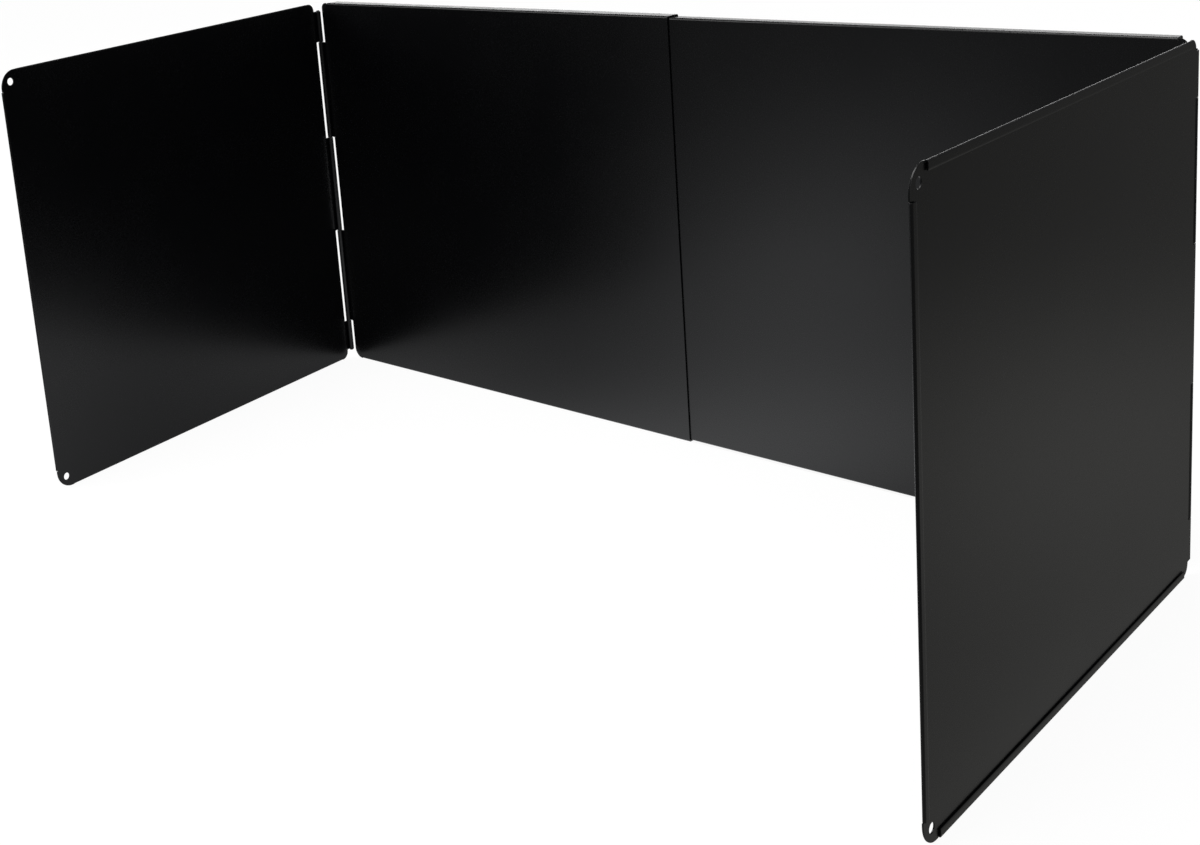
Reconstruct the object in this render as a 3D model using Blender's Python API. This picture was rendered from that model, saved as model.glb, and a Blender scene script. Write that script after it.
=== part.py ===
"""Folding splash guard of bent sheet steel.

Two side wings hang on pinned barrel hinges at the ends of a back panel that telescopes: its right half, the
slide, runs inside its left half, the sleeve. Metres, +Z up. X runs along the back panel, the wings reach
towards -Y, and the guard stands on Z = 0. The origin lies midway between the two hinges, under the middle of
the sleeve's bottom flange.

Each panel is drawn as the middle surface of its sheet, in its own sheet axes: u runs from the hinge axis along
the panel, v runs up, and w points to the panel's outer side. Folds and hinge knuckles are strips bent off the
edges of the flat blank, and a Solidify modifier gives the sheet its thickness.
"""
import math

import bmesh
import bpy
from mathutils import Matrix, Vector

# The sheet and its folds
SHEET = 0.0008
BEND_INSIDE = 0.0006
CLEARANCE = 0.0003
TAB_STRAIGHT = 0.0018

# The panels
PANEL_HEIGHT = 0.305
BACK_WIDTH = 0.732
WING_LENGTH = 0.333
LEFT_WING_TURN = math.radians(10.3)
RIGHT_WING_TURN = math.radians(6.2)

# The barrel hinges: knuckle edges are set out from both ends of the panel
PIN_RADIUS = 0.001
END_KNUCKLE_EDGE = 0.0323
KNUCKLE_COUNT = 5
KNUCKLE_GAP = 0.0004
KNUCKLE_SHOULDER = 0.0007
KNUCKLE_CORNER = 0.0005
KNUCKLE_CURL = math.radians(290)
LEAF_SETBACK = 0.0038
HINGE_CORNER_RADIUS = 0.005
PIN_HEAD_RADIUS = 0.0015
PIN_HEAD_HEIGHT = 0.0006
PIN_HEAD_ROUND = 0.0003

# The wings' hems and the eyelets in their free corners: the hems' edges lean in to the sheet
HEM_GAP = 0.0009
HEM_HEIGHT = 0.0045
HEM_LEAN = math.radians(11)
FREE_CORNER_RADIUS = 0.0118
EYELET_RADIUS = 0.0032
EYELET_INSET = 0.0085

# The telescoping back panel
SLEEVE_LENGTH = 0.3709
SLEEVE_DEPTH = 0.012
SLIDE_OVERLAP = 0.029
LIP_HEIGHT = 0.009
STOP_TAB_WIDTH = 0.006
STOP_TAB_REACH = 0.005
STOP_TAB_MARGIN = 0.0019
STOP_WALL_GAP = 0.0021
STOP_WALL_RELIEF = 0.003
STOP_WALL_CLEAR = 0.0015

# How finely curves are divided
ARC_STEP = math.radians(15)
EYELET_SIDES = 24
PIN_SIDES = 16
SAME_PLACE = 0.000001
SQUARE = math.pi / 2

# The sheet axes
U_AXIS = Vector((1, 0, 0))
V_AXIS = Vector((0, 1, 0))
W_AXIS = Vector((0, 0, 1))

# Sizes that follow from those above
BEND_MIDDLE = BEND_INSIDE + SHEET / 2
KNUCKLE_MIDDLE = PIN_RADIUS + CLEARANCE + SHEET / 2
HEM_MIDDLE = (HEM_GAP + SHEET) / 2
HEM_FOLD = HEM_MIDDLE + SHEET / 2
FLANGE_FOLD = BEND_MIDDLE + SHEET / 2
NEST = SHEET + CLEARANCE
BARREL_INSET = HEM_FOLD + HINGE_CORNER_RADIUS + KNUCKLE_SHOULDER
FOLD_START = LEAF_SETBACK + HINGE_CORNER_RADIUS + TAB_STRAIGHT
HEM_END_INSET = HEM_FOLD + FREE_CORNER_RADIUS + TAB_STRAIGHT
SLIDE_DEPTH = SLEEVE_DEPTH - 2 * NEST
SLIDE_LENGTH = BACK_WIDTH - SLEEVE_LENGTH + SLIDE_OVERLAP
SLIDE_END_IN_SLEEVE = SLEEVE_LENGTH - SLIDE_OVERLAP

BLACK_COAT = (0.012, 0.012, 0.012, 1)
PIN_STEEL = (0.06, 0.06, 0.062, 1)


def clear_scene():
    for scene_object in list(bpy.data.objects):
        bpy.data.objects.remove(scene_object, do_unlink=True)


def finish(name, colour, roughness, metallic):
    """A plain Principled material."""
    material = bpy.data.materials.new(name)
    material.use_nodes = True
    shader = material.node_tree.nodes["Principled BSDF"]
    shader.inputs["Base Color"].default_value = colour
    shader.inputs["Roughness"].default_value = roughness
    shader.inputs["Metallic"].default_value = metallic
    return material


def add_object(name, bm, material, parent=None, place=(0, 0, 0), turn=0.0):
    """Make an object of a bmesh, shaded smooth between its sharp edges."""
    mesh = bpy.data.meshes.new(name)
    bm.to_mesh(mesh)
    bm.free()
    mesh.shade_smooth()
    mesh.set_sharp_from_angle(angle=math.radians(30))
    mesh.materials.append(material)
    made = bpy.data.objects.new(name, mesh)
    bpy.context.scene.collection.objects.link(made)
    made.parent = parent
    made.location = place
    made.rotation_euler = (0, 0, turn)
    return made


def rounded_outline(corners):
    """Round the right-angled corners (u, v, radius) of a blank and list the points."""
    outline = []
    for index, (u, v, radius) in enumerate(corners):
        corner = Vector((u, v))
        if radius == 0:
            outline.append(corner)
            continue
        before = (Vector(corners[index - 1][:2]) - corner).normalized() * radius
        after = (Vector(corners[(index + 1) % len(corners)][:2]) - corner).normalized() * radius
        steps = math.ceil(math.pi / 2 / ARC_STEP)
        for step in range(steps + 1):
            turn = math.pi / 2 * step / steps
            outline.append(corner + before * (1 - math.sin(turn)) + after * (1 - math.cos(turn)))
    return outline


def circle(u, v, radius, sides):
    turns = [2 * math.pi * side / sides for side in range(sides)]
    return [Vector((u + radius * math.cos(turn), v + radius * math.sin(turn))) for turn in turns]


def flat_blank(corners, eyelets=()):
    """Fill a blank's outline in the sheet's middle plane, with its eyelets open."""
    bm = bmesh.new()
    edges = []
    for points in [rounded_outline(corners), *eyelets]:
        loop = [bm.verts.new((point.x, point.y, KNUCKLE_MIDDLE)) for point in points]
        edges += [bm.edges.new(pair) for pair in zip(loop, loop[1:] + loop[:1])]
    bmesh.ops.triangle_fill(bm, use_beauty=True, use_dissolve=False, edges=edges)
    return bm


def fold_row(vertices, start, end):
    """The vertices on the straight line from start to end (u, v), in order."""
    start = Vector((*start, KNUCKLE_MIDDLE))
    along = Vector((*end, KNUCKLE_MIDDLE)) - start
    length = along.length
    along.normalize()
    row = []
    for vertex in vertices:
        reach = (vertex.co - start).dot(along)
        beside = (vertex.co - start - along * reach).length
        if beside < SAME_PLACE and -SAME_PLACE < reach < length + SAME_PLACE:
            row.append((reach, vertex))
    return [vertex for _, vertex in sorted(row, key=lambda entry: entry[0])]


def bend(bm, row, outward, normal, radius, angle, leg=0.0):
    """Bend a strip off a row of vertices.

    The strip leaves along outward, turns through angle towards normal at the middle radius, then runs straight
    for leg. Gives its last row and the two directions there.
    """
    steps = math.ceil(angle / ARC_STEP)
    offsets = []
    for step in range(1, steps + 1):
        turn = angle * step / steps
        offsets.append(outward * (radius * math.sin(turn)) + normal * (radius * (1 - math.cos(turn))))
    end_outward = outward * math.cos(angle) + normal * math.sin(angle)
    end_normal = normal * math.cos(angle) - outward * math.sin(angle)
    if leg > 0:
        offsets.append(offsets[-1] + end_outward * leg)
    start = [vertex.co.copy() for vertex in row]
    for offset in offsets:
        following = [bm.verts.new(place + offset) for place in start]
        for a, b, c, d in zip(row, row[1:], following[1:], following):
            bm.faces.new((a, b, c, d))
        row = following
    return row, end_outward, end_normal


def knuckle_span(index):
    """Lower and upper end of a hinge knuckle, counted from the bottom."""
    pitch = (PANEL_HEIGHT - 2 * END_KNUCKLE_EDGE) / (KNUCKLE_COUNT - 2)
    low = END_KNUCKLE_EDGE + (index - 1) * pitch + KNUCKLE_GAP / 2
    high = END_KNUCKLE_EDGE + index * pitch - KNUCKLE_GAP / 2
    if index == 0:
        low = BARREL_INSET
    if index == KNUCKLE_COUNT - 1:
        high = PANEL_HEIGHT - BARREL_INSET
    return low, high


def hinge_edge(first_knuckle):
    """Corners of a blank's hinge edge, downwards, with a tongue for every second knuckle."""
    corners = []
    for index in reversed(range(first_knuckle, KNUCKLE_COUNT, 2)):
        low, high = knuckle_span(index)
        corners += [
            (LEAF_SETBACK, high, KNUCKLE_CORNER),
            (0, high, 0),
            (0, low, 0),
            (LEAF_SETBACK, low, KNUCKLE_CORNER),
        ]
    return corners


def roll_knuckles(bm, first_knuckle):
    """Curl each tongue round the hinge pin, towards the panel's inner side."""
    for index in range(first_knuckle, KNUCKLE_COUNT, 2):
        low, high = knuckle_span(index)
        row = fold_row(bm.verts, (0, low), (0, high))
        bend(bm, row, -U_AXIS, -W_AXIS, KNUCKLE_MIDDLE, KNUCKLE_CURL)


def mirrored_up(corners, height):
    """The same corners on the upper half, in the outline's order."""
    return [(u, height - v, radius) for u, v, radius in reversed(corners)]


def wing_blank_corners():
    """Outline of a wing, anticlockwise from the lower hinge corner, its tabs cut along the fold lines."""
    free_edge = WING_LENGTH - HEM_FOLD
    lower = [
        (LEAF_SETBACK, HEM_FOLD, HINGE_CORNER_RADIUS),
        (FOLD_START, HEM_FOLD, 0),
        (WING_LENGTH - HEM_END_INSET, HEM_FOLD, 0),
        (free_edge, HEM_FOLD, FREE_CORNER_RADIUS),
        (free_edge, HEM_END_INSET, 0),
    ]
    return lower + mirrored_up(lower, PANEL_HEIGHT) + hinge_edge(0)


def wing_sheet():
    """A wing: hemmed outwards on three edges, with an eyelet in each free corner."""
    eyelet_u = WING_LENGTH - EYELET_INSET
    eyelet_heights = (EYELET_INSET, PANEL_HEIGHT - EYELET_INSET)
    eyelets = [circle(eyelet_u, v, EYELET_RADIUS, EYELET_SIDES) for v in eyelet_heights]
    bm = flat_blank(wing_blank_corners(), eyelets)
    free_edge = WING_LENGTH - HEM_FOLD
    hem_end = WING_LENGTH - HEM_END_INSET
    hems = [
        ((FOLD_START, HEM_FOLD), (hem_end, HEM_FOLD), -V_AXIS),
        ((free_edge, HEM_END_INSET), (free_edge, PANEL_HEIGHT - HEM_END_INSET), U_AXIS),
        ((FOLD_START, PANEL_HEIGHT - HEM_FOLD), (hem_end, PANEL_HEIGHT - HEM_FOLD), V_AXIS),
    ]
    leg = (HEM_HEIGHT - HEM_FOLD - HEM_MIDDLE * math.sin(HEM_LEAN)) / math.cos(HEM_LEAN)
    for start, end, outward in hems:
        bend(bm, fold_row(bm.verts, start, end), outward, W_AXIS, HEM_MIDDLE, math.pi + HEM_LEAN, leg)
    roll_knuckles(bm, 0)
    return bm


def stop_tab_spans():
    """Where the sleeve's stop tabs lie along u: pushed in first, then pulled out."""
    inner = FOLD_START + STOP_TAB_MARGIN
    outer = SLIDE_END_IN_SLEEVE + SHEET + CLEARANCE
    return [(inner, inner + STOP_TAB_WIDTH), (outer, outer + STOP_TAB_WIDTH)]


def back_corner(inset):
    """Corners of the lower hinge corner of a back panel, as far as the start of its flange."""
    fold_line = inset + FLANGE_FOLD
    return [(LEAF_SETBACK, fold_line, HINGE_CORNER_RADIUS), (FOLD_START, fold_line, 0)]


def sleeve_sheet():
    """The sleeve: a channel with turned-in lips, and on each lip two stop tabs folded towards the front."""
    tab_ends = [(u, FLANGE_FOLD, 0) for span in stop_tab_spans() for u in span]
    lower = [*back_corner(0), *tab_ends, (SLEEVE_LENGTH, FLANGE_FOLD, 0)]
    bm = flat_blank(lower + mirrored_up(lower, PANEL_HEIGHT) + hinge_edge(1))
    flange_leg = SLEEVE_DEPTH - SHEET - 2 * BEND_MIDDLE
    lip_leg = LIP_HEIGHT - FLANGE_FOLD
    tab_leg = STOP_TAB_REACH + SHEET / 2 - BEND_MIDDLE
    for v, outward in ((FLANGE_FOLD, -V_AXIS), (PANEL_HEIGHT - FLANGE_FOLD, V_AXIS)):
        row = fold_row(bm.verts, (FOLD_START, v), (SLEEVE_LENGTH, v))
        row, outward, normal = bend(bm, row, outward, W_AXIS, BEND_MIDDLE, SQUARE, flange_leg)
        row, outward, normal = bend(bm, row, outward, normal, BEND_MIDDLE, SQUARE, lip_leg)
        for start, end in stop_tab_spans():
            tab = [vertex for vertex in row if start - SAME_PLACE < vertex.co.x < end + SAME_PLACE]
            bend(bm, tab, outward, normal, BEND_MIDDLE, SQUARE, tab_leg)
    roll_knuckles(bm, 1)
    return bm


def slide_sheet():
    """The slide: a channel that nests inside the sleeve, its inner end turned back as a stop wall."""
    fold_line = NEST + FLANGE_FOLD
    flange_end = SLIDE_LENGTH - STOP_WALL_RELIEF
    wall_line = SLIDE_LENGTH - FLANGE_FOLD
    wall_start = NEST + SHEET + STOP_WALL_GAP
    lower = [
        *back_corner(NEST),
        (flange_end, fold_line, 0),
        (flange_end, wall_start, 0),
        (wall_line, wall_start, 0),
    ]
    bm = flat_blank(lower + mirrored_up(lower, PANEL_HEIGHT) + hinge_edge(1))
    flange_leg = SLIDE_DEPTH - SHEET / 2 - BEND_MIDDLE
    for v, outward in ((fold_line, -V_AXIS), (PANEL_HEIGHT - fold_line, V_AXIS)):
        row = fold_row(bm.verts, (FOLD_START, v), (flange_end, v))
        bend(bm, row, outward, W_AXIS, BEND_MIDDLE, SQUARE, flange_leg)
    row = fold_row(bm.verts, (wall_line, wall_start), (wall_line, PANEL_HEIGHT - wall_start))
    bend(bm, row, U_AXIS, W_AXIS, BEND_MIDDLE, SQUARE, flange_leg - STOP_WALL_CLEAR)
    roll_knuckles(bm, 1)
    return bm


def hinge_pin():
    """A wire pin with a peened head just beyond each end of the barrel."""
    head = BARREL_INSET - CLEARANCE
    foot = head - PIN_HEAD_HEIGHT
    lower = [
        (0, foot),
        (PIN_HEAD_RADIUS - PIN_HEAD_ROUND, foot),
        (PIN_HEAD_RADIUS, foot + PIN_HEAD_ROUND),
        (PIN_HEAD_RADIUS, head),
        (PIN_RADIUS, head),
    ]
    profile = lower + [(radius, PANEL_HEIGHT - z) for radius, z in reversed(lower)]
    bm = bmesh.new()
    line = [bm.verts.new((radius, 0, z)) for radius, z in profile]
    edges = [bm.edges.new(pair) for pair in zip(line, line[1:])]
    bmesh.ops.spin(bm, geom=line + edges, cent=(0, 0, 0), axis=(0, 0, 1), angle=2 * math.pi, steps=PIN_SIDES)
    bmesh.ops.remove_doubles(bm, verts=bm.verts, dist=SAME_PLACE)
    bmesh.ops.recalc_face_normals(bm, faces=bm.faces)
    return bm


def sheet_panel(name, bm, u_axis, w_axis, material, parent=None, place=(0, 0, 0), turn=0.0):
    """Turn the sheet axes u, v, w to the object's own axes and give the sheet its thickness."""
    axes = Matrix((u_axis, (0, 0, 1), w_axis)).transposed().to_4x4()
    bm.transform(axes)
    bmesh.ops.recalc_face_normals(bm, faces=bm.faces)
    panel = add_object(name, bm, material, parent, place, turn)
    thickness = panel.modifiers.new("sheet", "SOLIDIFY")
    thickness.thickness = SHEET
    thickness.offset = 0
    thickness.use_even_offset = True
    thickness.use_quality_normals = True
    return panel


def main():
    clear_scene()
    black = finish("black_powder_coat", BLACK_COAT, 0.45, 0.0)
    steel = finish("blackened_steel", PIN_STEEL, 0.4, 1.0)
    left, right, forward, backward = (-1, 0, 0), (1, 0, 0), (0, -1, 0), (0, 1, 0)

    sleeve_axis_y = SHEET / 2 - SLEEVE_DEPTH / 2 - KNUCKLE_MIDDLE
    sleeve = sheet_panel("centre_sleeve", sleeve_sheet(), right, backward, black,
                         place=(-BACK_WIDTH / 2, sleeve_axis_y, 0))
    slide = sheet_panel("centre_slide", slide_sheet(), left, backward, black, sleeve,
                        place=(BACK_WIDTH, NEST, 0))
    sheet_panel("left_wing", wing_sheet(), forward, left, black, sleeve, turn=LEFT_WING_TURN)
    sheet_panel("right_wing", wing_sheet(), forward, right, black, slide, turn=RIGHT_WING_TURN)
    add_object("left_hinge_pin", hinge_pin(), steel, sleeve)
    add_object("right_hinge_pin", hinge_pin(), steel, slide)


main()
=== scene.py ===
"""Looks of a folding splash guard: satin black powder coat on folded sheet steel, blackened wire hinge pins.

The four panels are remade from the same named sizes as the solids, with finely stepped bends and softened cut
edges. Metres, +Z up, in the frame's own axes. A panel is worked out as the middle surface of its sheet in
sheet axes: u runs from the hinge axis along the panel, v runs up, and w points to the panel's outer side.
"""

import math

import bmesh
import bpy
import numpy as np
from mathutils import Matrix, Vector


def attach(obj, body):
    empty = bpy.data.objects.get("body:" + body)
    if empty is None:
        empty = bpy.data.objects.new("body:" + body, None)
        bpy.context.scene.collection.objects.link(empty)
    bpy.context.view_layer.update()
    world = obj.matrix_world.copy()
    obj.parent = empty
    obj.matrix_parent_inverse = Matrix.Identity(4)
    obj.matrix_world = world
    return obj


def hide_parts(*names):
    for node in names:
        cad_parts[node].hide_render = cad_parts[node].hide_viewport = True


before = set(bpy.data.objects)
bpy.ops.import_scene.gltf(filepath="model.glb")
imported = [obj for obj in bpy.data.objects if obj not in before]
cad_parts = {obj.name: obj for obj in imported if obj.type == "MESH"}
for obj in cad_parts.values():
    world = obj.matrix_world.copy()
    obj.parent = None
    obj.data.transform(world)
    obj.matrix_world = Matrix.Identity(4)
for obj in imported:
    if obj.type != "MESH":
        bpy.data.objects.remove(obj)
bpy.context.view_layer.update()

# The sheet and its folds: unfolded corner tabs end TAB_EDGE inside the folds' outer faces
SHEET = 0.0008
BEND_INSIDE = 0.0006
CLEARANCE = 0.0003
TAB_SLIT = 0.0004
TAB_EDGE = 0.00005

# The panels
PANEL_HEIGHT = 0.305
BACK_WIDTH = 0.732
WING_LENGTH = 0.333
LEFT_WING_TURN = math.radians(10.3)
RIGHT_WING_TURN = math.radians(6.2)

# The barrel hinges
PIN_RADIUS = 0.001
END_KNUCKLE_EDGE = 0.0323
KNUCKLE_COUNT = 5
KNUCKLE_GAP = 0.0004
BARREL_INSET = 0.00695
KNUCKLE_CORNER = 0.0005
KNUCKLE_CURL = math.radians(290)
LEAF_SETBACK = 0.0038
PIN_HEAD_RADIUS = 0.0015
PIN_HEAD_HEIGHT = 0.0006
PIN_HEAD_POWER = 3

# The wings' hems and the eyelets in their free corners: the hems' edges curl in to the sheet
HEM_GAP = 0.0003
HEM_HEIGHT = 0.0044
HEM_CURL = math.radians(20)
HEM_CURL_RADIUS = 0.0035
HEM_START = 0.012
HEM_END_INSET = 0.0147
WING_CORNER_RADIUS = 0.0062
FREE_CORNER_RADIUS = 0.0125
EYELET_RADIUS = 0.0026
EYELET_INSET = 0.0081

# The telescoping back panel: beside the hinges its flanges, all but the sleeve's lower one, end on a slant
# that runs back by FLANGE_SLANT of the way along the fold
SLEEVE_LENGTH = 0.3709
SLEEVE_DEPTH = 0.012
SLIDE_OVERLAP = 0.029
LIP_HEIGHT = 0.009
SLIDE_LIP_HEIGHT = 0.0065
FLANGE_START = 0.01
FLANGE_SLANT = 0.19
SLIDE_CORNER_RADIUS = 0.0055
SLEEVE_HEAD_RADIUS = 0.0045
SLEEVE_FOOT_RADIUS = 0.0082
FOOT_FLANGE_START = 0.0124
STOP_TAB_START = 0.0125
STOP_TAB_WIDTH = 0.006
STOP_TAB_REACH = 0.005
STOP_WALL_GAP = 0.0021
STOP_WALL_RELIEF = 0.003
STOP_WALL_CLEAR = 0.0015

# How finely curves are divided, and how near points are that count as one
ARC_STEP = math.radians(6)
EYELET_SIDES = 48
PIN_SIDES = 48
PIN_HEAD_POINTS = 12
SAME_PLACE = 0.000001

# The powder coat on the sheets' cut edges: its rounding, the angle from which it rounds an edge, and how much
# the flat faces lead the shading beside it
COAT_ROUND = 0.00016
COAT_ROUND_STEPS = 3
CUT_EDGE_ANGLE = math.radians(40)
FLAT_FACE_WEIGHT = 90

# The powder coat's finish: its patches and bumps, the lighter band at the folds (worn coat and a painted
# highlight), colours and roughness
CLOUD_SIZE = 0.09
GRAIN_SIZE = 0.0014
RUB_SIZE = 0.006
WAVE_SIZE = 0.13
GRAIN_HEIGHT = 0.000006
WAVE_HEIGHT = 0.0004
CLOUD_RANGE = (0.3, 0.7)
RUB_RANGE = (0.45, 0.75)
WEAR_AND_HIGHLIGHT_BAND = 0.0009
COAT_DEEP = (0.0004, 0.0005, 0.0009, 1)
COAT_PALE = (0.0007, 0.0008, 0.0012, 1)
# The lighter colour along the folds: partly worn coat, partly a painted highlight on the folds
COAT_WEAR_AND_HIGHLIGHT = (0.02, 0.02, 0.021, 1)
WEAR_AND_HIGHLIGHT_SHARE = 0.6
COAT_ROUGHNESS = 0.27
CLOUD_ROUGHNESS = 0.06
GRAIN_ROUGHNESS = 0.05
WORN_ROUGHNESS = -0.06
COAT_IOR = 1.5

# The pins' wire: its streaks are drawn out along the pin
STREAK_SIZE = 0.0003
STREAK_SQUEEZE = 0.04
STREAK_HEIGHT = 0.000004
SPOT_SIZE = 0.0022
SPOT_RANGE = (0.52, 0.7)
WIRE_DARK = (0.045, 0.045, 0.047, 1)
WIRE_RUBBED = (0.13, 0.13, 0.133, 1)
WIRE_ROUGHNESS = 0.34
STREAK_ROUGHNESS = 0.2

# The studio: each pool of light on the mirrored floor has a level, a middle, a turn, and a length and width
FLOOR_REACH = 15
FLOOR_DROP = 0.0002
FLOOR_BASE = 0.110
FLOOR_POOLS = (
    (0.761, (-0.212, -0.497), 1.063, (0.439, 0.118)),
    (0.756, (-0.036, 0.141), 0.559, (0.113, 0.378)),
    (0.934, (-0.099, 0.493), -0.382, (0.088, 0.381)),
    (0.167, (0.532, 0.136), -0.114, (0.097, 0.242)),
)
FLOOR_COOL = (0.97, 0.98, 1.0, 1)
FLOOR_WARM = (1.0, 0.995, 0.96, 1)
COOL_TO_WARM_X = (0.1, 0.42)
FLOOR_SHADED = (0.12, 0.12, 0.12, 1)
FLOOR_BOUNCE = (0.8, 0.8, 0.8, 1)
FLOOR_WHITE = (0.91, 0.91, 0.91, 1)
BACKDROP_SIDE = (-0.74, 0.67, 0.0)
BACKDROP_ENDS = (0.75, 0.92)
BACKDROP_TOP = (0.15, 0.2)
BACKDROP_LIGHT = (2.2, 2.2, 2.2, 1)
ROOM_LIGHT = (0.12, 0.12, 0.12, 1)
PLAIN_WHITE = (1, 1, 1, 1)
PLAIN_STRENGTH = 0.6

# The lamps: name, place, aim, size and power
LAMPS = (
    ("overhead", (-0.2, -0.6, 2.2), (0, -0.1, 0.1), 1.6, 24),
    ("front_left", (-1.6, -1.6, 1.3), (0, -0.1, 0.15), 1.2, 10),
    ("front_right", (1.9, -0.9, 1.2), (0, -0.1, 0.15), 1.2, 8),
)

# The camera: lens and sensor in millimetres, shifts in sensor widths, place, and its three directions
SENSOR_WIDTH = 36
LENS = 53.8822386
SHIFT_X = 0.134390594
SHIFT_Y = -0.152083333
EYE = (0.791563481, -0.936570630, 0.462427483)
EYE_RIGHT = (0.681483732, 0.726992197, -0.084037300)
EYE_UP = (-0.119872148, 0.224166952, 0.967150374)
EYE_BACK = (0.721949161, -0.649023515, 0.239912247)
NEAREST_SEEN = 0.01

# Sizes that follow from those above
BEND_MIDDLE = BEND_INSIDE + SHEET / 2
KNUCKLE_MIDDLE = PIN_RADIUS + CLEARANCE + SHEET / 2
HEM_MIDDLE = (HEM_GAP + SHEET) / 2
HEM_FOLD = HEM_MIDDLE + SHEET / 2
FLANGE_FOLD = BEND_MIDDLE + SHEET / 2
NEST = SHEET + CLEARANCE
SLIDE_DEPTH = SLEEVE_DEPTH - 2 * NEST
SLIDE_LENGTH = BACK_WIDTH - SLEEVE_LENGTH + SLIDE_OVERLAP
SLIDE_END_IN_SLEEVE = SLEEVE_LENGTH - SLIDE_OVERLAP
SLEEVE_AXIS_Y = SHEET / 2 - SLEEVE_DEPTH / 2 - KNUCKLE_MIDDLE

U = np.array((1.0, 0, 0))
V = np.array((0, 1.0, 0))
W = np.array((0, 0, 1.0))


# Shapes

def rounded(corners):
    """Outline of a blank with its square corners rounded.

    A corner p of radius r becomes the points p + a (1 - sin t) + b (1 - cos t), for t from 0 to a right
    angle, where a and b reach r along the sides before and after it.
    """
    corners = np.array(corners, float)
    places = corners[:, :2]
    radii = corners[:, 2:]
    before = np.roll(places, 1, axis=0) - places
    after = np.roll(places, -1, axis=0) - places
    before *= radii / np.linalg.norm(before, axis=1, keepdims=True)
    after *= radii / np.linalg.norm(after, axis=1, keepdims=True)
    turn = np.linspace(0, math.pi / 2, math.ceil(math.pi / 2 / ARC_STEP) + 1)[:, None]
    points = places[:, None] + before[:, None] * (1 - np.sin(turn)) + after[:, None] * (1 - np.cos(turn))
    points = points.reshape(-1, 2)
    apart = np.linalg.norm(points - np.roll(points, 1, axis=0), axis=1) > SAME_PLACE
    return points[apart]


def eyelet(u, v):
    """A circle: (u + r cos t, v + r sin t) for t round a full turn."""
    turn = np.linspace(0, 2 * math.pi, EYELET_SIDES, endpoint=False)
    return np.stack([u + EYELET_RADIUS * np.cos(turn), v + EYELET_RADIUS * np.sin(turn)], axis=1)


def clockwise(first, last, count):
    """Numbers of a ring's points from first back to last."""
    return (first - np.arange((first - last) % count + 1)) % count


def nearest(points, place):
    """Number of the point nearest to a place."""
    return int(np.argmin(np.linalg.norm(points - place, axis=1)))


def flat_patch(outline, eyelets=()):
    """The flat of a sheet: the plane w = knuckle radius inside its outline, less its eyelets.

    An eyelet (ring, before, after) is cut to the outline's points nearest to two places on either side of it.
    The outline between them and the ring's near side bound one face, and the rest of the outline another.
    """
    points = [outline]
    faces = []
    rest = []
    start = 0
    for ring, before, after in eyelets:
        first_number = sum(len(part) for part in points)
        enter, leave = nearest(outline, before), nearest(outline, after)
        inward, outward = nearest(ring, outline[enter]), nearest(ring, outline[leave])
        rest += [*range(start, enter + 1), *(clockwise(inward, outward, len(ring)) + first_number)]
        faces.append([*range(enter, leave + 1), *(clockwise(outward, inward, len(ring)) + first_number)])
        points.append(ring)
        start = leave
    faces.append(rest + list(range(start, len(outline))))
    places = np.concatenate(points)
    return np.column_stack([places, np.full(len(places), KNUCKLE_MIDDLE)]), faces


def grid_faces(rows, columns):
    """Quads of a grid whose points are numbered row by row."""
    corner = np.arange(rows - 1)[:, None] * columns + np.arange(columns - 1)
    quads = np.stack([corner, corner + 1, corner + columns + 1, corner + columns], axis=-1)
    return quads.reshape(-1, 4).tolist()


def points_on(points, start, end):
    """The points of an outline on the straight line from start to end, in order, raised to the sheet."""
    start = np.array(start)
    along = np.array(end) - start
    length = np.linalg.norm(along)
    along = along / length
    reach = (points - start) @ along
    beside = np.linalg.norm(points - start - reach[:, None] * along, axis=1)
    chosen = (beside < SAME_PLACE) & (reach > -SAME_PLACE) & (reach < length + SAME_PLACE)
    row = points[chosen][np.argsort(reach[chosen])]
    return np.column_stack([row, np.full(len(row), KNUCKLE_MIDDLE)])


def bent_strip(row, outward, normal, radius, angle, leg=0.0, slant=0.0):
    """A strip bent off a row of points p.

    The path p + radius (outward sin t + normal (1 - cos t)), for t from 0 to angle, then straight on for leg,
    is carried along the row. At the row's start the strip's end runs back by slant times the way along the
    path. Gives the grid's points, its faces, its last row and the two directions there.
    """
    turn = np.linspace(0, angle, math.ceil(angle / ARC_STEP) + 1)[:, None]
    path = radius * (outward * np.sin(turn) + normal * (1 - np.cos(turn)))
    end_outward = outward * math.cos(angle) + normal * math.sin(angle)
    end_normal = normal * math.cos(angle) - outward * math.sin(angle)
    if leg > 0:
        path = np.vstack([path, path[-1] + end_outward * leg])
    grid = path[:, None] + row[None]
    way = np.append(0, np.cumsum(np.linalg.norm(np.diff(path, axis=0), axis=1)))
    along = (row[-1] - row[0]) / np.linalg.norm(row[-1] - row[0])
    grid[:, 0] += slant * way[:, None] * along
    patch = (grid.reshape(-1, 3), grid_faces(*grid.shape[:2]))
    return patch, grid[-1], end_outward, end_normal


def knuckle_span(index):
    """Lower and upper end of a hinge knuckle, counted from the bottom."""
    pitch = (PANEL_HEIGHT - 2 * END_KNUCKLE_EDGE) / (KNUCKLE_COUNT - 2)
    low = END_KNUCKLE_EDGE + (index - 1) * pitch + KNUCKLE_GAP / 2
    high = END_KNUCKLE_EDGE + index * pitch - KNUCKLE_GAP / 2
    if index == 0:
        low = BARREL_INSET
    if index == KNUCKLE_COUNT - 1:
        high = PANEL_HEIGHT - BARREL_INSET
    return low, high


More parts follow.
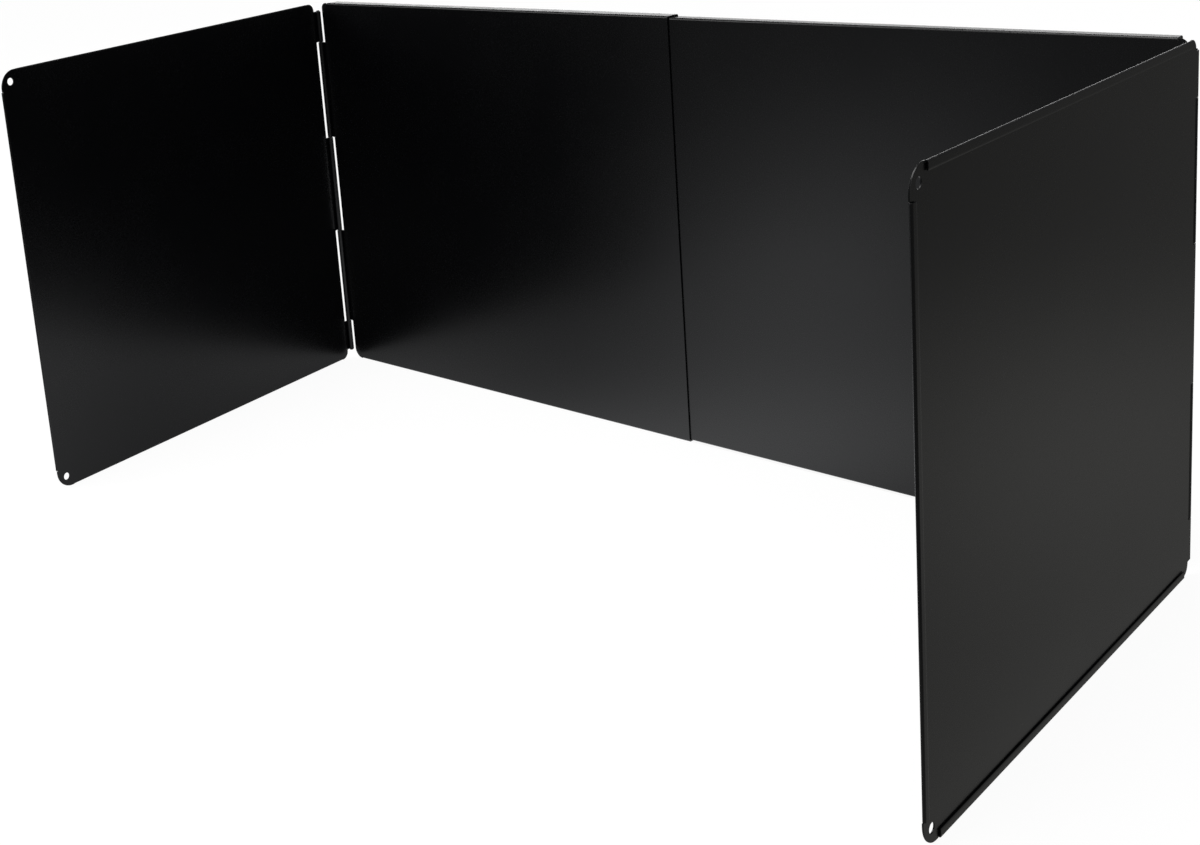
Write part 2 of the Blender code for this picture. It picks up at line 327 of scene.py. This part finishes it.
def hinge_edge(first_knuckle):
    """Corners of a blank's hinge edge, downwards, with a tongue for every second knuckle."""
    corners = []
    for index in reversed(range(first_knuckle, KNUCKLE_COUNT, 2)):
        low, high = knuckle_span(index)
        corners += [
            (LEAF_SETBACK, high, KNUCKLE_CORNER),
            (0, high, 0),
            (0, low, 0),
            (LEAF_SETBACK, low, KNUCKLE_CORNER),
        ]
    return corners


def knuckles(first_knuckle):
    """Barrels: each tongue's end row curled round the hinge pin, towards the panel's inner side."""
    patches = []
    for index in range(first_knuckle, KNUCKLE_COUNT, 2):
        low, high = knuckle_span(index)
        row = np.array([(0, low, KNUCKLE_MIDDLE), (0, high, KNUCKLE_MIDDLE)])
        patches.append(bent_strip(row, -U, -W, KNUCKLE_MIDDLE, KNUCKLE_CURL)[0])
    return patches


def mirrored_up(corners):
    """The same corners on the upper half, in the outline's order."""
    return [(u, PANEL_HEIGHT - v, radius) for u, v, radius in reversed(corners)]


def wing_patches():
    """A wing: its flat with an eyelet in each free corner, a hem on three edges, and three knuckles.

    The flat's corner tabs are not folded: they reach the hems' outer faces, with a slit at each hem's end.
    """
    low, high = HEM_FOLD, PANEL_HEIGHT - HEM_FOLD
    hem_end = WING_LENGTH - HEM_END_INSET
    free_edge = WING_LENGTH - HEM_FOLD
    tab_side = WING_LENGTH - TAB_EDGE
    lower = [
        (LEAF_SETBACK, TAB_EDGE, WING_CORNER_RADIUS),
        (HEM_START - TAB_SLIT, TAB_EDGE, 0),
        (HEM_START - TAB_SLIT, low, 0),
        (HEM_START, low, 0),
        (hem_end, low, 0),
        (hem_end + TAB_SLIT, low, 0),
        (hem_end + TAB_SLIT, TAB_EDGE, 0),
        (tab_side, TAB_EDGE, FREE_CORNER_RADIUS),
        (tab_side, HEM_END_INSET - TAB_SLIT, 0),
        (free_edge, HEM_END_INSET - TAB_SLIT, 0),
        (free_edge, HEM_END_INSET, 0),
    ]
    outline = rounded(lower + mirrored_up(lower) + hinge_edge(0))
    eyelet_u = WING_LENGTH - EYELET_INSET
    patches = [flat_patch(outline, [
        (eyelet(eyelet_u, EYELET_INSET), (hem_end, low), (tab_side, 0)),
        (eyelet(eyelet_u, PANEL_HEIGHT - EYELET_INSET), (tab_side, PANEL_HEIGHT), (hem_end, high)),
    ])]
    hems = [
        ((HEM_START, low), (hem_end, low), -V),
        ((free_edge, HEM_END_INSET), (free_edge, PANEL_HEIGHT - HEM_END_INSET), U),
        ((HEM_START, high), (hem_end, high), V),
    ]
    leg = HEM_HEIGHT - HEM_FOLD - HEM_CURL_RADIUS * math.sin(HEM_CURL)
    for start, end, outward in hems:
        row = points_on(outline, start, end)
        fold, row, outward, normal = bent_strip(row, outward, W, HEM_MIDDLE, math.pi, leg)
        curl = bent_strip(row, outward, normal, HEM_CURL_RADIUS, HEM_CURL)[0]
        patches += [fold, curl]
    return patches + knuckles(0)


def stop_tab_spans():
    """Where the sleeve's stop tabs lie along u: pushed in first, then pulled out."""
    outer = SLIDE_END_IN_SLEEVE + SHEET + CLEARANCE
    return [(STOP_TAB_START, STOP_TAB_START + STOP_TAB_WIDTH), (outer, outer + STOP_TAB_WIDTH)]


def back_corner(inset, radius, flange_start):
    """Corners of a lower hinge corner of a back panel: its tab, and the slit beside the flange's end."""
    edge = inset + TAB_EDGE
    fold_line = inset + FLANGE_FOLD
    return [
        (LEAF_SETBACK, edge, radius),
        (flange_start - TAB_SLIT, edge, 0),
        (flange_start - TAB_SLIT, fold_line, 0),
        (flange_start, fold_line, 0),
    ]


def sleeve_patches():
    """The sleeve: flat, flanges, turned-in lips, stop tabs folded off the lips, and two knuckles."""
    tab_ends = [(u, FLANGE_FOLD, 0) for span in stop_tab_spans() for u in span]
    edge = [*tab_ends, (SLEEVE_LENGTH, FLANGE_FOLD, 0)]
    foot = back_corner(0, SLEEVE_FOOT_RADIUS, FOOT_FLANGE_START)
    head = back_corner(0, SLEEVE_HEAD_RADIUS, FLANGE_START)
    outline = rounded(foot + edge + mirrored_up(head + edge) + hinge_edge(1))
    patches = [flat_patch(outline)]
    flange_leg = SLEEVE_DEPTH - SHEET - 2 * BEND_MIDDLE
    lip_leg = LIP_HEIGHT - FLANGE_FOLD
    tab_leg = STOP_TAB_REACH + SHEET / 2 - BEND_MIDDLE
    folds = [
        (FLANGE_FOLD, -V, FOOT_FLANGE_START, 0),
        (PANEL_HEIGHT - FLANGE_FOLD, V, FLANGE_START, FLANGE_SLANT),
    ]
    for v, outward, start, slant in folds:
        row = points_on(outline, (start, v), (SLEEVE_LENGTH, v))
        flange, row, outward, normal = bent_strip(
            row, outward, W, BEND_MIDDLE, math.pi / 2, flange_leg, slant)
        lip, row, outward, normal = bent_strip(row, outward, normal, BEND_MIDDLE, math.pi / 2, lip_leg)
        patches += [flange, lip]
        for start, end in stop_tab_spans():
            tab = row[(row[:, 0] > start - SAME_PLACE) & (row[:, 0] < end + SAME_PLACE)]
            patches.append(bent_strip(tab, outward, normal, BEND_MIDDLE, math.pi / 2, tab_leg)[0])
    return patches + knuckles(1)


def slide_patches():
    """The slide: flat, flanges and lips nested in the sleeve's, turned-back stop wall, and two knuckles."""
    fold_line = NEST + FLANGE_FOLD
    flange_end = SLIDE_LENGTH - STOP_WALL_RELIEF
    wall_line = SLIDE_LENGTH - FLANGE_FOLD
    wall_start = NEST + SHEET + STOP_WALL_GAP
    lower = [
        *back_corner(NEST, SLIDE_CORNER_RADIUS, FLANGE_START),
        (flange_end, fold_line, 0),
        (flange_end, wall_start, 0),
        (wall_line, wall_start, 0),
    ]
    outline = rounded(lower + mirrored_up(lower) + hinge_edge(1))
    patches = [flat_patch(outline)]
    flange_leg = SLIDE_DEPTH - SHEET - 2 * BEND_MIDDLE
    lip_leg = SLIDE_LIP_HEIGHT - FLANGE_FOLD
    for v, outward in ((fold_line, -V), (PANEL_HEIGHT - fold_line, V)):
        row = points_on(outline, (FLANGE_START, v), (flange_end, v))
        flange, row, outward, normal = bent_strip(
            row, outward, W, BEND_MIDDLE, math.pi / 2, flange_leg, FLANGE_SLANT)
        lip = bent_strip(row, outward, normal, BEND_MIDDLE, math.pi / 2, lip_leg)[0]
        patches += [flange, lip]
    row = points_on(outline, (wall_line, wall_start), (wall_line, PANEL_HEIGHT - wall_start))
    wall_leg = SLIDE_DEPTH - SHEET / 2 - BEND_MIDDLE - STOP_WALL_CLEAR
    patches.append(bent_strip(row, U, W, BEND_MIDDLE, math.pi / 2, wall_leg)[0])
    return patches + knuckles(1)


def pin_patch():
    """A hinge pin: (r cos t, r sin t, z) for the points (r, z) of its profile, turned round its axis.

    Each peened head is the quarter of a superellipse (r / R)^n + (h / H)^n = 1 in radius r and height h.
    """
    head = BARREL_INSET - CLEARANCE
    lean = np.linspace(0, math.pi / 2, PIN_HEAD_POINTS)
    radius = PIN_HEAD_RADIUS * np.sin(lean) ** (2 / PIN_HEAD_POWER)
    height = PIN_HEAD_HEIGHT * np.cos(lean) ** (2 / PIN_HEAD_POWER)
    lower = np.column_stack([np.append(radius, PIN_RADIUS), np.append(head - height, head)])
    upper = lower[::-1] * (1, -1) + (0, PANEL_HEIGHT)
    profile = np.vstack([lower, upper])
    turn = np.linspace(0, 2 * math.pi, PIN_SIDES + 1)
    points = np.stack([
        profile[:, :1] * np.cos(turn),
        profile[:, :1] * np.sin(turn),
        np.broadcast_to(profile[:, 1:], (len(profile), len(turn))),
    ], axis=-1)
    return points.reshape(-1, 3), grid_faces(*points.shape[:2])


def joined_mesh(name, patches, axes, origin):
    """One mesh of all patches, turned by the axes and moved to the origin, with shared points merged."""
    counts = np.cumsum([0] + [len(points) for points, _ in patches])
    points = np.concatenate([points for points, _ in patches]) @ np.array(axes) + np.array(origin)
    faces = []
    for (_, patch), first in zip(patches, counts):
        faces += [[corner + first for corner in face] for face in patch]
    mesh = bpy.data.meshes.new(name)
    mesh.from_pydata(points.tolist(), [], faces)
    bm = bmesh.new()
    bm.from_mesh(mesh)
    bmesh.ops.remove_doubles(bm, verts=bm.verts, dist=SAME_PLACE)
    bmesh.ops.recalc_face_normals(bm, faces=bm.faces)
    bm.to_mesh(mesh)
    bm.free()
    mesh.shade_smooth()
    return mesh


def fitted(name, mesh, node, body, material):
    """An object of a mesh that stands for a node of the frame and rides on its body."""
    made = bpy.data.objects.new(name, mesh)
    bpy.context.scene.collection.objects.link(made)
    mesh.materials.append(material)
    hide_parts(node)
    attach(made, body)
    return made


def panel(node, body, patches, u_axis, w_axis, origin, material):
    """A sheet-steel panel: its middle surface thickened to the sheet, its cut edges softened by the coat."""
    mesh = joined_mesh(node + "_sheet", patches, (u_axis, (0, 0, 1), w_axis), origin)
    made = fitted(node + "_coated", mesh, node, body, material)
    thickness = made.modifiers.new("sheet", "SOLIDIFY")
    thickness.thickness = SHEET
    thickness.offset = 0
    thickness.use_even_offset = True
    thickness.use_quality_normals = True
    softened = made.modifiers.new("coated_edges", "BEVEL")
    softened.width = COAT_ROUND
    softened.segments = COAT_ROUND_STEPS
    softened.limit_method = "ANGLE"
    softened.angle_limit = CUT_EDGE_ANGLE
    softened.use_clamp_overlap = False
    flat = made.modifiers.new("flat_faces", "WEIGHTED_NORMAL")
    flat.weight = FLAT_FACE_WEIGHT


# Finishes

class Socket:
    """A shader socket of one material; arithmetic on it adds Math nodes."""

    def __init__(self, tree, output=None):
        self.tree = tree
        self.output = output

    def add(self, kind, settings=None, inputs=None, output=0):
        """Any node: its settings first, then the values or links of its sockets. Gives one of its outputs."""
        node = self.tree.nodes.new(kind)
        for name, value in (settings or {}).items():
            setattr(node, name, value)
        for name, value in (inputs or {}).items():
            if isinstance(value, Socket):
                self.tree.links.new(value.output, node.inputs[name])
            else:
                node.inputs[name].default_value = value
        return Socket(self.tree, node.outputs[output] if len(node.outputs) else None)

    def math(self, operation, first, second=0.0):
        """A Math node of two values; an operation on one value ignores the second."""
        return self.add("ShaderNodeMath", {"operation": operation}, {0: first, 1: second})

    def __add__(self, other):
        return self.math("ADD", self, other)

    def __radd__(self, other):
        return self.math("ADD", other, self)

    def __sub__(self, other):
        return self.math("SUBTRACT", self, other)

    def __rsub__(self, other):
        return self.math("SUBTRACT", other, self)

    def __mul__(self, other):
        return self.math("MULTIPLY", self, other)

    def __rmul__(self, other):
        return self.math("MULTIPLY", other, self)


def start_finish(name):
    """A new material without nodes, and a Socket to add them with."""
    material = bpy.data.materials.new(name)
    material.use_nodes = True
    material.node_tree.nodes.clear()
    return material, Socket(material.node_tree)


def noise(start, place, size, detail, roughness):
    """Grey noise of the given grain size in metres."""
    return start.add("ShaderNodeTexNoise", inputs={
        "Vector": place, "Scale": 1 / size, "Detail": detail, "Roughness": roughness})


def mixed(start, amount, first, second):
    """The first colour turning to the second as amount goes from 0 to 1."""
    return start.add("ShaderNodeMix", {"data_type": "RGBA", "clamp_factor": True},
                     {0: amount, 6: first, 7: second}, output=2)


def ranged(start, value, low, high, to_low, to_high):
    """A value that goes smoothly from to_low to to_high as the input goes from low to high."""
    return start.add("ShaderNodeMapRange", {"interpolation_type": "SMOOTHSTEP"}, {
        "Value": value, "From Min": low, "From Max": high, "To Min": to_low, "To Max": to_high})


def dot(start, first, second):
    """Dot product of two vectors."""
    return start.add("ShaderNodeVectorMath", {"operation": "DOT_PRODUCT"}, {0: first, 1: second}, output=1)


def black_powder_coat():
    """Satin black powder coat: faint orange peel, a slow waviness of the sheet, soft patches in the sheen,
    and a lighter band along the folds that is partly worn coat and partly a painted highlight.
    """
    material, start = start_finish("satin_black_powder_coat")
    place = start.add("ShaderNodeTexCoord", output="Object")
    height = start.add("ShaderNodeSeparateXYZ", inputs={0: place}, output=2)
    cloud = noise(start, place, CLOUD_SIZE, detail=3.0, roughness=0.55)
    grain = noise(start, place, GRAIN_SIZE, detail=2.0, roughness=0.5)
    rub = noise(start, place, RUB_SIZE, detail=4.0, roughness=0.65)
    half = PANEL_HEIGHT / 2
    from_middle = start.math("ABSOLUTE", height - half)
    at_folds = ranged(start, from_middle, half - WEAR_AND_HIGHLIGHT_BAND, half, 0.0, 1.0)
    wear_and_highlight = at_folds * ranged(start, rub, *RUB_RANGE, 0.0, 1.0)
    colour = mixed(start, ranged(start, cloud, *CLOUD_RANGE, 0.0, 1.0), COAT_DEEP, COAT_PALE)
    # Lighter coat in patches along the top and bottom folds: partly wear, partly a painted highlight of the
    # folds
    colour = mixed(start, wear_and_highlight * WEAR_AND_HIGHLIGHT_SHARE, colour, COAT_WEAR_AND_HIGHLIGHT)
    sheen = COAT_ROUGHNESS + (cloud - 0.5) * CLOUD_ROUGHNESS + (grain - 0.5) * GRAIN_ROUGHNESS
    sheen = sheen + wear_and_highlight * WORN_ROUGHNESS
    peel = start.add("ShaderNodeBump", inputs={"Strength": 1.0, "Distance": GRAIN_HEIGHT, "Height": grain})
    slow = noise(start, place, WAVE_SIZE, detail=1.0, roughness=0.4)
    wave = start.add("ShaderNodeBump", inputs={
        "Strength": 1.0, "Distance": WAVE_HEIGHT, "Height": slow, "Normal": peel})
    shader = start.add("ShaderNodeBsdfPrincipled", inputs={
        "Base Color": colour, "Roughness": sheen, "Normal": wave, "IOR": COAT_IOR})
    start.add("ShaderNodeOutputMaterial", inputs={"Surface": shader})
    return material


def blackened_wire():
    """Blackened steel wire: drawn streaks along the pin and brighter rubbed spots."""
    material, start = start_finish("blackened_steel_wire")
    place = start.add("ShaderNodeTexCoord", output="Object")
    drawn = start.add("ShaderNodeMapping", inputs={"Vector": place, "Scale": (1, 1, STREAK_SQUEEZE)})
    streak = noise(start, drawn, STREAK_SIZE, detail=3.0, roughness=0.6)
    rub = noise(start, place, SPOT_SIZE, detail=3.0, roughness=0.6)
    spot = ranged(start, rub, *SPOT_RANGE, 0.0, 1.0)
    colour = mixed(start, spot, WIRE_DARK, WIRE_RUBBED)
    bump = start.add("ShaderNodeBump", inputs={"Strength": 1.0, "Distance": STREAK_HEIGHT, "Height": streak})
    sheen = WIRE_ROUGHNESS + (streak - 0.5) * STREAK_ROUGHNESS
    shader = start.add("ShaderNodeBsdfPrincipled", inputs={
        "Base Color": colour, "Metallic": 1.0, "Roughness": sheen, "Normal": bump})
    start.add("ShaderNodeOutputMaterial", inputs={"Surface": shader})
    return material


def studio_floor():
    """White floor: seen as white with the object's soft shadow, and in the gloss of the coat as a lit streak.

    Mirrored in the coat, the floor is brightest in front of the slide. Each pool of light falls off as
    exp(-q / 2), where q is the squared distance from its middle in lengths and widths of the pool.
    """
    material, start = start_finish("studio_floor")
    place = start.add("ShaderNodeTexCoord", output="Object")
    bright = FLOOR_BASE
    for level, (x, y), turn, (length, width) in FLOOR_POOLS:
        scaled = start.add("ShaderNodeMapping", {"vector_type": "TEXTURE"}, {
            "Vector": place, "Location": (x, y, 0), "Rotation": (0, 0, turn), "Scale": (length, width, 1)})
        away = dot(start, scaled, scaled)
        bright = bright + level * start.math("POWER", math.e, away * -0.5)
    across = start.add("ShaderNodeSeparateXYZ", inputs={0: place}, output=0)
    tint = mixed(start, ranged(start, across, *COOL_TO_WARM_X, 0.0, 1.0), FLOOR_COOL, FLOOR_WARM)
    pool = start.add("ShaderNodeVectorMath", {"operation": "SCALE"}, {0: tint, "Scale": bright})
    lit = start.add("ShaderNodeBsdfDiffuse", inputs={"Color": FLOOR_SHADED})
    bounce = start.add("ShaderNodeBsdfDiffuse", inputs={"Color": FLOOR_BOUNCE})
    white = start.add("ShaderNodeEmission", inputs={"Color": FLOOR_WHITE})
    seen = start.add("ShaderNodeAddShader", inputs={0: lit, 1: white})
    mirrored = start.add("ShaderNodeEmission", inputs={"Color": pool})
    camera_ray = start.add("ShaderNodeLightPath", output="Is Camera Ray")
    glossy_ray = start.add("ShaderNodeLightPath", output="Is Glossy Ray")
    clear_ray = start.add("ShaderNodeLightPath", output="Is Transmission Ray")
    by_bounce = start.add("ShaderNodeMixShader", inputs={
        0: start.math("MAXIMUM", glossy_ray, clear_ray), 1: bounce, 2: mirrored})
    shown = start.add("ShaderNodeMixShader", inputs={0: camera_ray, 1: by_bounce, 2: seen})
    start.add("ShaderNodeOutputMaterial", inputs={"Surface": shown})
    return material


# Stage, camera and lamps

def add_floor():
    """A square of the studio floor, just under the guard."""
    signs = ((-1, -1), (1, -1), (1, 1), (-1, 1))
    corners = [(x * FLOOR_REACH, y * FLOOR_REACH, -FLOOR_DROP) for x, y in signs]
    mesh = bpy.data.meshes.new("floor")
    mesh.from_pydata(corners, [], [(0, 1, 2, 3)])
    floor = bpy.data.objects.new("floor", mesh)
    bpy.context.scene.collection.objects.link(floor)
    mesh.materials.append(studio_floor())


def add_world():
    """Plain white surroundings, which light the guard at a plain level.

    Seen by the camera they are white all round. The coat mirrors a low white backdrop behind the guard, and a
    dimmer room above it and on the other sides.
    """
    world = bpy.data.worlds.new("studio")
    bpy.context.scene.world = world
    world.use_nodes = True
    world.node_tree.nodes.clear()
    start = Socket(world.node_tree)
    camera_ray = start.add("ShaderNodeLightPath", output="Is Camera Ray")
    glossy_ray = start.add("ShaderNodeLightPath", output="Is Glossy Ray")
    clear_ray = start.add("ShaderNodeLightPath", output="Is Transmission Ray")
    towards = start.add("ShaderNodeTexCoord", output="Generated")
    behind = dot(start, towards, BACKDROP_SIDE)
    height = start.add("ShaderNodeSeparateXYZ", inputs={0: towards}, output=2)
    lit = ranged(start, behind, *BACKDROP_ENDS, 0.0, 1.0) * ranged(start, height, *BACKDROP_TOP, 1.0, 0.0)
    backdrop = mixed(start, lit, ROOM_LIGHT, BACKDROP_LIGHT)
    light = start.add("ShaderNodeBackground", inputs={"Color": PLAIN_WHITE, "Strength": PLAIN_STRENGTH})
    white = start.add("ShaderNodeBackground", inputs={"Color": PLAIN_WHITE, "Strength": 1.0})
    mirrored = start.add("ShaderNodeBackground", inputs={"Color": backdrop, "Strength": 1.0})
    by_light = start.add("ShaderNodeMixShader", inputs={
        0: start.math("MAXIMUM", glossy_ray, clear_ray), 1: light, 2: mirrored})
    shown = start.add("ShaderNodeMixShader", inputs={0: camera_ray, 1: by_light, 2: white})
    start.add("ShaderNodeOutputWorld", inputs={"Surface": shown})


def add_lamp(name, place, aim, size, power):
    """A square soft box at a place, facing a point."""
    data = bpy.data.lights.new(name, "AREA")
    data.size = size
    data.energy = power
    lamp = bpy.data.objects.new(name, data)
    bpy.context.scene.collection.objects.link(lamp)
    lamp.location = place
    lamp.rotation_euler = (Vector(aim) - Vector(place)).to_track_quat("-Z", "Y").to_euler()


def add_camera():
    """The photograph's viewpoint: a lens and shift fitted to the guard's straight edges."""
    data = bpy.data.cameras.new("camera")
    data.sensor_width = SENSOR_WIDTH
    data.lens = LENS
    data.shift_x = SHIFT_X
    data.shift_y = SHIFT_Y
    data.clip_start = NEAREST_SEEN
    camera = bpy.data.objects.new("camera", data)
    bpy.context.scene.collection.objects.link(camera)
    camera.matrix_world = Matrix((EYE_RIGHT, EYE_UP, EYE_BACK)).transposed().to_4x4()
    camera.location = EYE
    bpy.context.scene.camera = camera


def side_axes(turn, side):
    """A wing's u axis, turned from straight forwards, and its outward w axis: left is -1, right is 1."""
    return (math.sin(turn), -math.cos(turn), 0), (side * math.cos(turn), side * math.sin(turn), 0)


# The guard: two wings and the telescoping back panel on two hinge pins

coat = black_powder_coat()
wire = blackened_wire()

left_axis = (-BACK_WIDTH / 2, SLEEVE_AXIS_Y, 0)
right_axis = (BACK_WIDTH / 2, SLEEVE_AXIS_Y + NEST, 0)
panel("centre_sleeve", "back_sleeve", sleeve_patches(), (1, 0, 0), (0, 1, 0), left_axis, coat)
panel("centre_slide", "back_slide", slide_patches(), (-1, 0, 0), (0, 1, 0), right_axis, coat)
panel("left_wing", "left_wing", wing_patches(), *side_axes(LEFT_WING_TURN, -1), left_axis, coat)
panel("right_wing", "right_wing", wing_patches(), *side_axes(RIGHT_WING_TURN, 1), right_axis, coat)
upright = ((1, 0, 0), (0, 1, 0), (0, 0, 1))
pins = (("left_hinge_pin", "back_sleeve", left_axis), ("right_hinge_pin", "back_slide", right_axis))
for node, body, axis in pins:
    turned = joined_mesh(node + "_turned", [pin_patch()], upright, axis)
    fitted(node + "_peened", turned, node, body, wire)

bpy.context.scene.view_settings.view_transform = "Standard"
add_floor()
add_world()
for lamp in LAMPS:
    add_lamp(*lamp)
add_camera()
